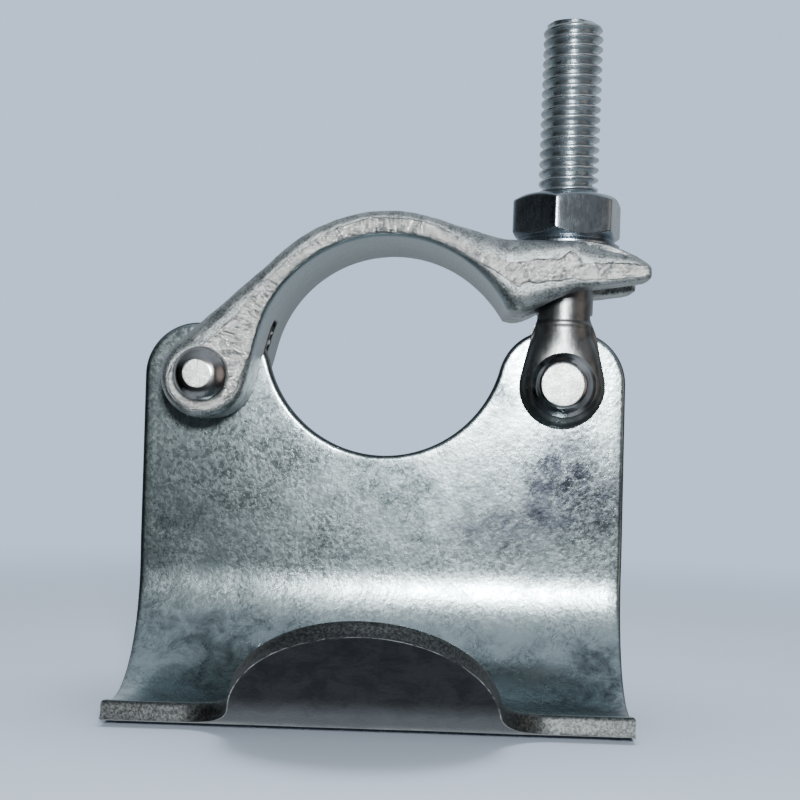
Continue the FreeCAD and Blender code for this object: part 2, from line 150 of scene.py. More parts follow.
def revolved(profile, columns):    # rings of a turned piece about Z, closed at both ends
    turn = np.linspace(0, 2 * math.pi, columns, endpoint=False)
    rings = [np.c_[r * np.cos(turn), r * np.sin(turn), np.full(columns, z)] for r, z in profile]
    points = np.concatenate(rings + [[(0, 0, profile[0][1])], [(0, 0, profile[-1][1])]])
    faces = gridFaces(len(profile), columns)
    last = (len(profile) - 1) * columns
    foot, top = len(points) - 2, len(points) - 1
    for c in range(columns):
        faces += [(foot, (c + 1) % columns, c), (top, last + c, last + (c + 1) % columns)]
    return points, faces


def rounded(profile, radii, steps=5):    # inner corners cut back by those lengths and curved
    made = [profile[0]]
    for before, corner, after, radius in zip(profile, profile[1:], profile[2:], radii):
        corner = np.array(corner, float)
        back, on = np.array(before) - corner, np.array(after) - corner
        cut = min(radius, np.linalg.norm(back) * 0.45, np.linalg.norm(on) * 0.45)
        start = corner + back / np.linalg.norm(back) * cut
        end = corner + on / np.linalg.norm(on) * cut
        for share in np.linspace(0, 1, steps):
            pulled = 2 * share * (1 - share) * corner
            made.append((1 - share) ** 2 * start + pulled + share ** 2 * end)
    made.append(profile[-1])
    return [tuple(point) for point in made]


def remeshed(node, voxel, passes, cutAbove=None):    # a node's shape in even small faces
    mesh = frame["nodes"][node].data.copy()
    piece = bpy.data.objects.new("working", mesh)
    bpy.context.scene.collection.objects.link(piece)
    weld = piece.modifiers.new("weld", "WELD")
    weld.merge_threshold = 1e-6
    cells = piece.modifiers.new("cells", "REMESH")
    cells.mode, cells.voxel_size = "VOXEL", voxel
    if passes:
        relax = piece.modifiers.new("relax", "SMOOTH")
        relax.factor, relax.iterations = 0.5, passes
    ready = piece.evaluated_get(bpy.context.evaluated_depsgraph_get())
    mesh = bpy.data.meshes.new_from_object(ready)
    bpy.data.objects.remove(piece)
    points = np.empty(len(mesh.vertices) * 3)
    mesh.vertices.foreach_get("co", points)
    points = points.reshape(-1, 3)
    faces = [tuple(face.vertices) for face in mesh.polygons]
    if cutAbove is not None:
        faces = [face for face in faces if points[list(face), 2].max() < cutAbove]
        used = sorted({i for face in faces for i in face})
        place = {old: new for new, old in enumerate(used)}
        points, faces = points[used], [tuple(place[i] for i in face) for face in faces]
    return points, faces


# Every point is kept inside the box of the node that the piece replaces.
def makePiece(name, points, faces, material, node, body, sharp=35, marks=None):
    lo, hi = (np.array(corner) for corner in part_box(node))
    mesh = bpy.data.meshes.new(name)
    mesh.from_pydata(np.clip(points, lo, hi).tolist(), [], faces)
    mesh.validate()
    for mark, values in (marks or {}).items():
        layer = mesh.attributes.new(mark, "FLOAT", "POINT")
        layer.data.foreach_set("value", np.asarray(values, np.float32))
    mesh.shade_smooth()
    mesh.set_sharp_from_angle(angle=math.radians(sharp))
    mesh.materials.append(material)
    piece = bpy.data.objects.new(name, mesh)
    bpy.context.scene.collection.objects.link(piece)
    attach(piece, body)
    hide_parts(node)
    print(name, len(faces), "faces")
    return piece


# Material helpers. A wire is a socket, and sums of wires add Math nodes.

class Wire:
    def __init__(self, shader, socket):
        self.shader, self.socket = shader, socket

    def math(self, operation, *values):
        return self.shader.add("ShaderNodeMath", {"operation": operation}, dict(enumerate(values)))

    def __add__(self, other):
        return self.math("ADD", self, other)

    __radd__ = __add__

    def __sub__(self, other):
        return self.math("SUBTRACT", self, other)

    def __rsub__(self, other):
        return self.math("SUBTRACT", other, self)

    def __mul__(self, other):
        return self.math("MULTIPLY", self, other)

    __rmul__ = __mul__

    def __abs__(self):
        return self.math("ABSOLUTE", self)


class Shader:
    def __init__(self, name, owner=None):
        self.material = owner or bpy.data.materials.new(name)
        self.material.use_nodes = True
        self.nodes = self.material.node_tree.nodes
        self.links = self.material.node_tree.links
        self.nodes.clear()
        place = self.add("ShaderNodeTexCoord", {}, {}, "Object")
        self.place = self.stretch(place, (1000, 1000, 1000))    # in millimetres

    def add(self, kind, settings, sockets, output=0):
        node = self.nodes.new(kind)
        for key, value in settings.items():
            setattr(node, key, value)
        for key, value in sockets.items():
            if isinstance(value, Wire):
                self.links.new(value.socket, node.inputs[key])
            elif isinstance(value, tuple) and node.inputs[key].type == "RGBA":
                node.inputs[key].default_value = (*value, 1)
            else:
                node.inputs[key].default_value = value
        return Wire(self, node.outputs[output]) if len(node.outputs) else None

    def stretch(self, vector, scale):
        return self.add("ShaderNodeVectorMath", {"operation": "MULTIPLY"}, {0: vector, 1: scale})

    def noise(self, size, detail=3, rough=0.5, distort=0, vector=None):    # size in millimetres
        return self.add("ShaderNodeTexNoise", {}, {
            "Vector": vector or self.place, "Scale": 1 / size, "Detail": detail,
            "Roughness": rough, "Distortion": distort})

    def cells(self, size, vector=None):
        return self.add("ShaderNodeTexVoronoi", {"feature": "F1"}, {
            "Vector": vector or self.place, "Scale": 1 / size})

    def mark(self, name):
        return self.add("ShaderNodeAttribute", {"attribute_name": name}, {}, "Fac")

    def span(self, value, low, high, start=0, end=1):
        return self.add("ShaderNodeMapRange", {"interpolation_type": "SMOOTHSTEP"},
                        {0: value, 1: low, 2: high, 3: start, 4: end})

    def tint(self, share, first, second):
        return self.add("ShaderNodeMix", {"data_type": "RGBA"},
                        {0: share, 6: first, 7: second}, 2)

    def bump(self, height, distance, strength=1, under=None):
        sockets = {"Height": height, "Distance": distance * mm, "Strength": strength}
        if under:
            sockets["Normal"] = under
        return self.add("ShaderNodeBump", {}, sockets)

    def finish(self, sockets):
        surface = self.add("ShaderNodeBsdfPrincipled", {}, sockets)
        self.add("ShaderNodeOutputMaterial", {}, {"Surface": surface})
        return self.material


# Camera: in front of the hook's mouth, and almost level.

camera = {
    "eye": (0.0139, -0.2558, 0.0272),
    "sensor": 36,                         # millimetres
    "lens": 60.5,
    "left": 2.1306,                       # degrees that it looks to the left of +Y
    "up": 1.4908,
    "roll": 1.5,
    "nearest": 0.01,
}


def makeCamera():
    data = bpy.data.cameras.new("camera")
    data.sensor_width = camera["sensor"]
    data.lens = camera["lens"]
    data.clip_start = camera["nearest"]
    holder = bpy.data.objects.new("camera", data)
    bpy.context.scene.collection.objects.link(holder)
    left, up = math.radians(camera["left"]), math.radians(camera["up"])
    level = math.cos(up)
    ahead = Vector((-math.sin(left) * level, math.cos(left) * level, math.sin(up)))
    turn = ahead.to_track_quat("-Z", "Y").to_matrix()
    roll = Matrix.Rotation(math.radians(camera["roll"]), 3, "Z")
    holder.matrix_world = Matrix.Translation(camera["eye"]) @ (turn @ roll).to_4x4()
    bpy.context.scene.camera = holder


makeCamera()

# Hook plate: its blank as cut from the sheet, then bent round the tube.

plate = {
    "earOuterRadius": 11.1 * mm,
    "earInnerRadius": 11.0 * mm,
    "notchRadius": 25.0 * mm,
    "notchDrop": 0.5 * mm,         # notch centre under the upper tube's axis
    "lipTurn": 18.5,               # degrees past the lowest line
    "tongueTurn": 46,
    "tongueReach": 37.7 * mm,
    "tongueRadius": 25.2 * mm,
    "rootRadius": 10 * mm,
    "holeRadius": 4.06 * mm,
    "taper": 1.0 * mm,             # each side, from the web to the lips
    "spacing": 1.3 * mm,
    "wave": 0.05 * mm,
    "burr": 0.32 * mm,
    # dark stains in the zinc: x and z, half width and height in millimetres, and how dark
    "stains": [(38, 15, 16, 15, 1.0), (26, 8, 14, 7, 0.8), (-38, 15, 15, 12, 0.3),
               (-20, 22, 9, 6, 0.3)],
}


def plateOutline(halfWidth, top, notchHeight):
    p = plate
    outer, inner = p["earOuterRadius"], p["earInnerRadius"]
    lips = -seatRadius * math.radians(p["lipTurn"])
    reach = p["notchRadius"] + inner
    fallen = notchHeight - (top - inner)
    innerX = math.sqrt(reach ** 2 - fallen ** 2)
    lean = math.degrees(math.asin(fallen / reach))
    arch = p["tongueRadius"] - p["tongueReach"]
    root = p["rootRadius"]
    drop = arch - (lips - root)
    rootX = math.sqrt((p["tongueRadius"] + root) ** 2 - drop ** 2)
    dip = math.degrees(math.asin(drop / (p["tongueRadius"] + root)))
    side = halfWidth - outer
    return np.concatenate([
        line(halfWidth, lips, halfWidth, top - outer), arc(side, top - outer, outer, 0, 90),
        line(side, top, innerX, top), arc(innerX, top - inner, inner, 90, 180 - lean),
        arc(0, notchHeight, p["notchRadius"], -lean, lean - 180),
        arc(-innerX, top - inner, inner, lean, 90), line(-innerX, top, -side, top),
        arc(-side, top - outer, outer, 90, 180), line(-halfWidth, top - outer, -halfWidth, lips),
        line(-halfWidth, lips, -rootX, lips), arc(-rootX, lips - root, root, 90, dip),
        arc(0, arch, p["tongueRadius"], 180 + dip, 360 - dip),
        arc(rootX, lips - root, root, 180 - dip, 90), line(rootX, lips, halfWidth, lips)])


def bent(x, v, depth):    # v runs up the sheet's inner face from its lowest line
    r = seatRadius + depth
    last = math.radians(plate["tongueTurn"])
    turn = np.clip(-v / seatRadius, -math.pi / 2, last)
    web = np.maximum(v - seatRadius * math.pi / 2, 0)
    tongue = np.maximum(-v - seatRadius * last, 0)
    y = -r * np.sin(turn) - tongue * math.cos(last)
    z = -r * np.cos(turn) + web + tongue * math.sin(last)
    return np.c_[x, y, z]


def makePlate(material):
    lo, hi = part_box("hook_plate")
    sheet = -lo.z - seatRadius
    flat = seatRadius * math.pi / 2
    notchHeight = tubeAxis[2] - plate["notchDrop"] + flat
    outline = plateOutline(hi.x, hi.z + flat, notchHeight)
    holes = [arc(pivot[0], pivot[2] + flat, plate["holeRadius"], 360, 0)
             for pivot in (flapPivot, boltPivot)]
    # how far each ring of the cut edge stands in from the outline, and its depth
    rolled = [(1.1, 0), (0.75, 0.03), (0.45, 0.12), (0.2, 0.32), (0.06, 0.6), (0, 0.95), (0, 1.4)]
    torn = [(0.03, 1.8), (0.07, 2.2), (0.1, 2.6), (0.08, 3.0), (0.06, 3.35)]
    loops = [outline] + holes
    normals = [outward(loop) for loop in loops]
    first = [loop - normal * rolled[0][0] * mm for loop, normal in zip(loops, normals)]
    triangles, inside = filled(first, plate["spacing"])
    rim = np.concatenate(loops)
    push = np.concatenate(normals)
    count = len(rim)
    spot = np.c_[rim, np.zeros(count)]
    ragged = np.clip(0.35 + ripple(spot, 2.2 * mm, 3) + 0.7 * ripple(spot, 0.8 * mm, 9), 0, 1.4)
    where = ripple(spot, 17 * mm, 5)
    low = 0.25 + 0.75 * smooth(-rim[:, 1], 0, 8 * mm)
    ragged *= plate["burr"] * smooth(where, -0.3, 0.3) * low
    ragged[len(outline):] = 0
    crumble = [ripple(spot, 1.1 * mm, 20 + i) for i in range(len(torn))]
    rings, depths, cuts = [], [], []
    for inset, depth in rolled:
        rings.append(rim - push * inset * mm)
        depths.append(np.full(count, depth * mm))
        cuts.append(np.full(count, float(smooth(depth, 0.02, 0.35))))
    for (inset, depth), crumbs in zip(torn, crumble):
        rings.append(rim - push * (inset * mm + 0.07 * mm * crumbs)[:, None])
        depths.append(np.full(count, depth * mm) + 0.05 * mm * crumbs)
        cuts.append(np.ones(count))
    for inset, share, cut in ((0.02, 1, 1), (0.14, 0.75, 0.6), (0.35, 0, 0.1), (0.8, 0, 0)):
        rings.append(rim - push * inset * mm)
        depths.append(sheet + ragged * share)
        cuts.append(np.full(count, cut))
    # rings first, then the inside points of the front and of the back
    flatPoints = np.concatenate(rings + [inside, inside])
    depth = np.concatenate(depths + [np.zeros(len(inside)), np.full(len(inside), sheet)])
    cut = np.concatenate(cuts + [np.zeros(2 * len(inside))])
    faces, start = [], 0
    for loop in loops:
        n = len(loop)
        for r in range(len(rings) - 1):
            a, b = r * count + start, (r + 1) * count + start
            faces += [(a + i, b + i, b + (i + 1) % n, a + (i + 1) % n) for i in range(n)]
        start += n
    front = np.where(triangles < count, triangles, triangles + (len(rings) - 1) * count)
    back = triangles + (len(rings) - 1) * count
    back = np.where(triangles < count, back, back + len(inside))
    faces += [tuple(face) for face in front.tolist()]
    faces += [tuple(face[::-1]) for face in back.tolist()]
    x, v = flatPoints.T
    x = x * (1 - plate["taper"] / hi.x * (1 - smooth(v, -8 * mm, 45 * mm)))
    broad = np.c_[x, v, np.zeros(len(x))]
    depth = depth + plate["wave"] * (ripple(broad, 19 * mm, 7) + 0.4 * ripple(broad, 7 * mm, 8))
    outside = smooth(depth, 0.6 * sheet, 0.95 * sheet) * smooth(-v, -6 * mm, 4 * mm)
    points = bent(x, v, depth)
    stain = np.zeros(len(points))
    for atX, atZ, wide, tall, amount in plate["stains"]:
        far = np.hypot((points[:, 0] / mm - atX) / wide, (points[:, 2] / mm - atZ) / tall)
        far = far + 0.3 * ripple(points, 9 * mm, 3) + 0.12 * ripple(points, 3 * mm, 9)
        stain = np.maximum(stain, amount * (1 - smooth(far, 0.4, 1.1)))
    return makePiece("hookPlate", points, faces, material, "hook_plate", "plate",
                     marks={"cutEdge": cut, "outside": outside, "stain": stain * (1 - cut)})


plateLook = {
    "bright": (0.41, 0.49, 0.515),
    "dull": (0.18, 0.22, 0.238),
    "dark": (0.024, 0.033, 0.038),
    "stain": (0.045, 0.05, 0.064),
    "cut": (0.11, 0.118, 0.12),
    "cutDark": (0.035, 0.037, 0.039),
    # painted shade: the tongue's outside face is painted dark, turning to the shadow colour towards its top
    "outside": (0.15, 0.16, 0.175),
    "shadow": (0.012, 0.012, 0.014),
    # painted highlight: the glint along the burr
    "burr": (0.55, 0.56, 0.55),
}


def plateZinc():
    s = Shader("plateZinc")
    look = plateLook
    cut = s.mark("cutEdge")
    clouds = s.span(s.noise(30, 4, 0.55, 0.4), 0.44, 0.62)
    mottle = s.span(s.noise(5.5, 6, 0.74, 0.5), 0.4, 0.62)
    veins = abs(s.noise(3.6, 6, 0.7, 1.4) - 0.5)
    veins = s.span(veins, 0.0, 0.035, 1, 0) * s.span(s.noise(11, 3), 0.4, 0.58)
    crystals = s.span(s.noise(1.1, 5, 0.75, 0.6), 0.42, 0.62)
    tone = s.tint(mottle * 0.45 + clouds * 0.4, look["bright"], look["dull"])
    tone = s.tint(veins * 0.5 + clouds * mottle * (0.35 + crystals * 0.3), tone, look["dark"])
    smudge = s.mark("stain") * s.span(s.noise(3.2, 6, 0.72, 0.8), 0.36, 0.6, 0.6, 1)
    tone = s.tint(smudge, tone, look["stain"])
    rise = s.add("ShaderNodeSeparateXYZ", {}, {0: s.place}, "Z")
    # painted shade on the tongue's outside face, darkest towards its top
    outer = s.tint(s.span(rise, -26, -19) * 0.85 + mottle * 0.1, look["outside"], look["shadow"])
    tone = s.tint(s.mark("outside"), tone, outer)
    grain = s.noise(0.5, 4, 0.7)
    edge = s.tint(s.span(grain, 0.38, 0.66), look["cutDark"], look["cut"])
    tone = s.tint(cut, tone, edge)
    # painted highlight: a bright glint where the cut edge meets the outside face
    glint = s.span(abs(cut - 0.45), 0.1, 0.35, 1, 0) * s.mark("outside")
    glint = glint * s.span(s.noise(3, 5, 0.75), 0.38, 0.62)
    tone = s.tint(glint, tone, look["burr"])
    shine = 0.19 + clouds * 0.06 + mottle * 0.07 + crystals * 0.07
    shine = shine * (1 - cut) + cut * (0.36 + grain * 0.22)
    dimples = s.noise(1.5, 3, 0.55) * 0.6 + crystals * 0.15
    dimples = dimples + s.noise(5, 2) * 1.4 + s.cells(0.8) * 0.35
    height = dimples * (1 - cut) + cut * grain * 1.3
    relief = s.bump(height, 0.032)
    return s.finish({"Base Color": tone, "Metallic": 1.0, "Roughness": shine, "Normal": relief})


makePlate(plateZinc())

# Flap: the forging's skin, its trimmed faces and the worn edges between them.

flap = {
    "lugRadius": 8.7 * mm,
    "archRadius": 26.65 * mm,
    "wall": 5.3 * mm,
    "pivotDrop": 10.1 * mm,         # under the upper tube's axis, when the flap is closed on it
    "pivotReach": 35.5 * mm,
    "openAngle": 13.1,              # degrees that it rests below that place
    "crownAngle": 68,
    "step": 0.3 * mm,
    # the toe's corners in millimetres, past the bolt's pivot and above the hinge
    "shoulder": 12.7,               # before the pivot
    "toeTop": (15.2, 24.3),
    "toeEnd": (23.4, 20.9),         # heights of its upper and lower corner
    "underside": [(1, 18.7), (-8.4, 14.2)],
    "slotHalf": 2.6 * mm,
    "slotReach": 17 * mm,           # round the hinge
    "voxel": 0.55 * mm,
    # share of the way round the outline from the lug's foot, and the millimetres worn off there
    "worn": [(0, 1.0), (0.04, 1.3), (0.09, 1.6), (0.12, 3.0), (0.14, 4.4), (0.22, 3.6), (0.27, 2.4),
             (0.33, 1.7), (0.38, 1.8), (0.395, 2.4), (0.41, 3.6), (0.423, 5.0), (0.445, 5.2),
             (0.482, 4.4), (0.49, 3.0), (0.5, 2.6), (0.507, 4.1), (0.525, 3.0), (0.545, 1.3),
             (0.56, 0.7), (0.585, 0.6), (0.605, 0.8), (0.63, 1.6), (0.65, 3.2), (0.672, 5.2),
             (0.694, 6.0), (0.706, 4.2), (0.72, 2.4), (0.735, 1.5), (0.75, 0.8), (0.8, 0.5),
             (0.97, 0.5), (1, 1.0)],
    "skin": 0.09 * mm,
    "striae": 0.06 * mm,
}


def flapOutline():
    f = flap
    a = math.radians(f["openAngle"])
    cx = f["pivotReach"] * math.cos(a) + f["pivotDrop"] * math.sin(a)
    cz = f["pivotDrop"] * math.cos(a) - f["pivotReach"] * math.sin(a)
    crown = f["archRadius"] + f["wall"]
    span, lean = math.hypot(cx, cz), math.atan2(cz, cx)
    back = math.degrees(lean + math.acos((f["lugRadius"] - crown) / span))
    front = math.degrees(lean - math.acos((f["lugRadius"] + f["archRadius"]) / span))
    px = boltPivot[0] - flapPivot[0]
    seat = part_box("flange_nut")[0].z - flapPivot[2]
    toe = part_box("flap")[1].x - flapPivot[0]
    end = math.radians(f["crownAngle"])
    tangent = [(r * math.cos(math.radians(t)), r * math.sin(math.radians(t)))
               for r, t in ((f["lugRadius"], back), (crown, back), (f["lugRadius"], front))]
    corners = [(cx + crown * math.cos(end), cz + crown * math.sin(end)),
               (px - f["shoulder"] * mm, seat), (px, seat),
               (px + f["toeTop"][0] * mm, f["toeTop"][1] * mm)]
    corners += [(toe, height * mm) for height in f["toeEnd"]]
    corners += [(px + past * mm, height * mm) for past, height in f["underside"]]
    heel = math.degrees(math.atan2(corners[-1][1] - cz, corners[-1][0] - cx))
    parts = [arc(0, 0, f["lugRadius"], front, back - 360, f["step"]),
             line(*tangent[0], cx + tangent[1][0], cz + tangent[1][1], f["step"]),
             arc(cx, cz, crown, back, f["crownAngle"], f["step"])]
    parts += [line(*p, *q, f["step"]) for p, q in zip(corners, corners[1:])]
    parts += [arc(cx, cz, f["archRadius"], heel, 180 + front, f["step"])]
    archFoot = (cx + f["archRadius"] * math.cos(math.radians(180 + front)),
                cz + f["archRadius"] * math.sin(math.radians(180 + front)))
    parts += [line(*archFoot, *tangent[2], f["step"])]
    return np.concatenate(parts) + flapPivot[[0, 2]], np.array((cx, cz)) + flapPivot[[0, 2]]


def makeFlap(material):
    outline, arch = flapOutline()
    steps = np.linalg.norm(np.roll(outline, -1, 0) - outline, axis=1)
    share = np.cumsum(steps) / steps.sum()
    tree = KDTree(len(outline))
    for index, (x, z) in enumerate(outline):
        tree.insert((x, z, 0), index)
    tree.balance()
    points, faces = remeshed("flap", flap["voxel"], 3)
    lo, hi = (np.array(corner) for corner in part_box("flap"))
    near = [tree.find((x, z, 0)) for x, _, z in points]
    gap = np.array([hit[2] for hit in near])
    along = share[[hit[1] for hit in near]]
    spot = np.c_[points[:, 0], points[:, 1] > (lo[1] + hi[1]) / 2, points[:, 2]]
    worn = np.interp(along, *zip(*flap["worn"])) * mm
    worn = worn * (1 + 0.16 * ripple(spot, 7 * mm, 2) + 0.1 * ripple(spot, 2 * mm, 4))
    fall = 0.75 * worn
    share = np.clip(1 - gap / worn, 0, 1)
    sink = fall * (1 - np.sqrt(1 - share ** 2))
    faceGap = np.full(len(points), 9.0)
    for face, way in ((lo[1], 1), (hi[1], -1)):
        deep = (points[:, 1] - face) * way
        close = deep < 2 * fall
        moved = sink + deep * (1 - sink / (2 * fall))
        points[:, 1] = np.where(close, face + way * moved, points[:, 1])
        faceGap = np.minimum(faceGap, np.maximum(deep / mm, 0))
    # the skin's grain, and striae across the trimmed faces
    radius = np.linalg.norm(points[:, [0, 2]] - arch, axis=1)
    turn = np.arctan2(points[:, 2] - arch[1], points[:, 0] - arch[0])
    trimmed = smooth(gap - worn, 0, 0.5 * mm) * smooth(-faceGap, -1.2, -0.4)
    combed = np.c_[turn * 30 * mm, radius * 0.22, points[:, 1] * 0.2]
    striae = ripple(combed, 0.9 * mm, 6)
    lumps = ripple(points, 5.5 * mm, 1) * 1.1 + ripple(points, 1.8 * mm, 12) * 0.7
    inner = smooth(-radius, -(flap["archRadius"] + 0.7 * mm), -(flap["archRadius"] + 0.3 * mm))
    inner *= 1 - trimmed
    # painted shade: the walls of the slot that straddles the plate's ear are darkened, standing in for the shade
    # in that narrow slot
    aside = np.abs(points[:, 1] - flapPivot[1])
    reach = np.linalg.norm((points - flapPivot)[:, [0, 2]], axis=1)
    slotted = smooth(-aside, -flap["slotHalf"] - 0.4 * mm, -flap["slotHalf"])
    slotted *= smooth(-reach, -flap["slotReach"] - 0.8 * mm, -flap["slotReach"])
    mesh = bpy.data.meshes.new("skin")
    mesh.from_pydata(points.tolist(), [], faces)
    normals = np.empty(len(points) * 3)
    mesh.vertices.foreach_get("normal", normals)
    bpy.data.meshes.remove(mesh)
    lift = flap["skin"] * (lumps - 1) * (1 - 0.8 * inner) * (1 - 0.5 * trimmed)
    lift += flap["striae"] * (striae - 0.5) * trimmed
    points = points + normals.reshape(-1, 3) * lift[:, None]
    return makePiece("flap", points, faces, material, "flap", "flap", 60, {
        "pastWorn": (gap - worn) / mm, "faceGap": faceGap, "inner": inner, "slotted": slotted})


flapLook = {
    "trimmed": (0.98, 0.99, 0.97),
    "trimmedDark": (0.24, 0.26, 0.265),
    "skin": (0.50, 0.535, 0.55),
    "skinDark": (0.14, 0.155, 0.16),
    "inside": (0.27, 0.335, 0.365),
    # painted shade deep in the arch
    "insideDeep": (0.12, 0.145, 0.16),
    "crease": (0.05, 0.05, 0.055),
    # painted shade for the walls of the slot
    "slot": (0.035, 0.035, 0.037),
}


def forgedZinc():
    s = Shader("forgedZinc")
    look = flapLook
    _, arch = flapOutline()
    centre = (arch[0] / mm, 0.0, arch[1] / mm)
    arm = s.add("ShaderNodeVectorMath", {"operation": "SUBTRACT"}, {0: s.place, 1: centre})
    parts = [s.add("ShaderNodeSeparateXYZ", {}, {0: arm}, axis) for axis in ("X", "Y", "Z")]
    turn = parts[2].math("ARCTAN2", parts[2], parts[0])
    radius = s.add("ShaderNodeVectorMath", {"operation": "LENGTH"},
                   {0: s.stretch(arm, (1, 0, 1))}, "Value")
    combed = s.add("ShaderNodeCombineXYZ", {}, {0: turn * 30, 1: parts[1] * 0.4, 2: radius * 0.3})
    striae = s.noise(0.55, 4, 0.65, 0.3, combed)
    ragged = s.noise(0.9, 4, 0.65)
    past = s.mark("pastWorn") + (ragged - 0.5) * 0.9
    onFace = s.span(s.mark("faceGap"), 0.5, 1.3, 1, 0)
    trimmed = s.span(past, 0, 0.22) * onFace
    crease = s.span(abs(past - 0.02), 0.03, 0.16, 1, 0) * onFace * s.span(s.noise(7, 2), 0.42, 0.56)
    crease = crease * s.span(parts[0], 6, 18, 0.35, 0.9)
    grain = s.noise(0.42, 4, 0.7)
    coarse = s.noise(2.6, 4, 0.6)
    skin = s.tint(s.span(grain * 0.6 + coarse * 0.4, 0.38, 0.6), look["skinDark"], look["skin"])
    # the arch's inner face in its own smoother blue-grey, with painted shade darkening it towards the back
    inside = s.tint(s.span(parts[1], 9, 40), look["inside"], look["insideDeep"])
    skin = s.tint(s.mark("inner"), skin, inside)
    face = s.tint(s.span(striae * 0.55 + grain * 0.45, 0.40, 0.555), look["trimmedDark"],
                  look["trimmed"])
    tone = s.tint(crease, s.tint(trimmed, skin, face), look["crease"])
    # painted shade on the slot's walls
    tone = s.tint(s.mark("slotted"), tone, look["slot"])
    shine = 0.37 - s.mark("inner") * 0.05 - trimmed * 0.15 + (0.5 - grain) * 0.4
    height = grain * (1 - s.mark("inner") * 0.8) + coarse * 0.8 + trimmed * (striae * 2 + grain)
    relief = s.bump(height - crease * 1.2, 0.16)
    return s.finish({"Base Color": tone, "Metallic": 1.0, "Roughness": shine, "Normal": relief})


makeFlap(forgedZinc())

# Swing bolt: the forged eye and neck, and the rolled thread.

bolt = {
    "radius": 6.25 * mm,
    "shankRadius": 6.05 * mm,
    "pitch": 2.117 * mm,
    "threadDepth": 1.3 * mm,
    "threadStart": 22.1 * mm,      # above the pivot
    "reach": 76.1 * mm,
    "runOut": 3 * mm,
    "endRound": 1.9 * mm,
    "columns": 72,
    "rowsPerTurn": 12,
    "voxel": 0.45 * mm,
    "eyeRadius": 8.85 * mm,
    "forkHalf": 2.45 * mm,
    "neckTop": 13.5 * mm,
    "waistHeight": 6 * mm,
    "waist": 7.9 * mm,             # half width of the eye at that height
    "squeezeStart": 7 * mm,
    "squeezeRadius": 8.6 * mm,
}
boltTurn = np.array(Vector((0, 0, 1)).rotation_difference(Vector(boltAxis)).to_matrix())


def alongBolt(points):    # from the bolt's own axis to its place
    return points @ boltTurn.T + boltPivot


